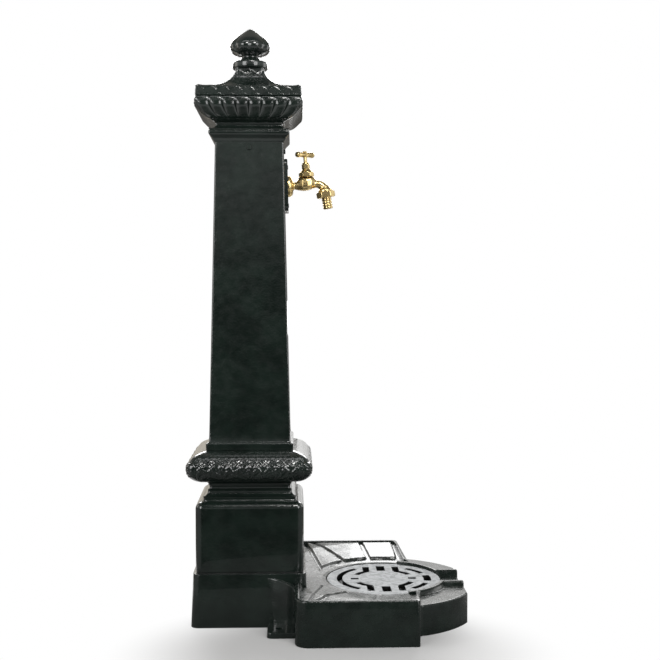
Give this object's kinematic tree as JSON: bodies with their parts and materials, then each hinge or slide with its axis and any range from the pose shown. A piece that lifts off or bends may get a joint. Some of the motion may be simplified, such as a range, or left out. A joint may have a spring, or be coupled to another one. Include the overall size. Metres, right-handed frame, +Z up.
{
  "type": "garden standpipe",
  "caption": "Cast pillar garden fountain with a tapered square shaft, leafy torus foot, scaled roof and lobed finial, a brass tap with tee handle, and a catch basin with a round drain grate.",
  "frame": {"origin": "on the pillar's upright axis at ground level, the plane that the base casting stands on", "axes": "+Z up along the pillar, +X the way the tap points and the basin reaches, +Y to the left of someone standing behind the pillar and looking along +X"},
  "size_m": [0.514, 0.44, 1.0995],
  "materials": {
    "cast_paint": "gloss dark green paint on a slightly uneven casting",
    "grate_metal": "galvanised, satin",
    "screw_paint": "painted over with the casting",
    "brass": "polished",
    "steel": "zinc plated",
    "rubber": "matt"
  },
  "bodies": {
    "stand": {"base_casting": "cast_paint", "base_gasket": "rubber", "column_bolts": "steel", "column_washers": "steel", "column_casting": "cast_paint", "capital_casting": "cast_paint", "capital_screws": "screw_paint", "finial": "cast_paint", "finial_stud": "steel", "finial_washer": "steel", "finial_nut": "steel", "tap_plate": "cast_paint", "plate_screws": "screw_paint", "escutcheon": "brass", "tap_body": "brass", "bonnet_gasket": "rubber", "bonnet": "brass", "gland_packing": "rubber", "gland_nut": "brass", "tap_lockwasher": "rubber", "tap_locknut": "brass", "riser_elbow": "brass", "riser_pipe": "steel", "inlet_coupling": "brass"},
    "grate": {"drain_grate": "grate_metal"},
    "valve": {"jumper": "brass", "tap_washer": "rubber", "washer_nut": "brass"},
    "handle": {"spindle": "brass", "tee_handle": "brass", "handle_screw": "brass"},
    "tail": {"hose_tail": "brass", "union_washer": "rubber"},
    "nut": {"union_nut": "brass"}
  },
  "joints": [
    {"name": "grate_lift", "type": "slide", "parent": "stand", "child": "grate", "axis": [0, 0, 1], "range_m": [0, 0.15]},
    {"name": "valve_lift", "type": "slide", "parent": "stand", "child": "valve", "axis": [-0.074, 0, 0.9973], "range_m": [0, 0.005]},
    {"name": "handle_turn", "type": "hinge", "parent": "valve", "child": "handle", "pos_m": [0.1065, 0, 0.80742], "axis": [-0.074, 0, 0.9973], "range_deg": [0, 901]},
    {"name": "union_travel", "type": "slide", "parent": "stand", "child": "tail", "axis": [0.1693, 0, -0.9856], "range_m": [0, 0.00453]},
    {"name": "union_turn", "type": "hinge", "parent": "tail", "child": "nut", "pos_m": [0.14142, 0, 0.79249], "axis": [0.1693, 0, -0.9856], "range_deg": [0, 901]}
  ],
  "couplings": [
    {"joint": "handle_turn", "follows": "valve_lift", "rad_per_m": 3141.6},
    {"joint": "union_turn", "follows": "union_travel", "rad_per_m": 3463.7}
  ]
}
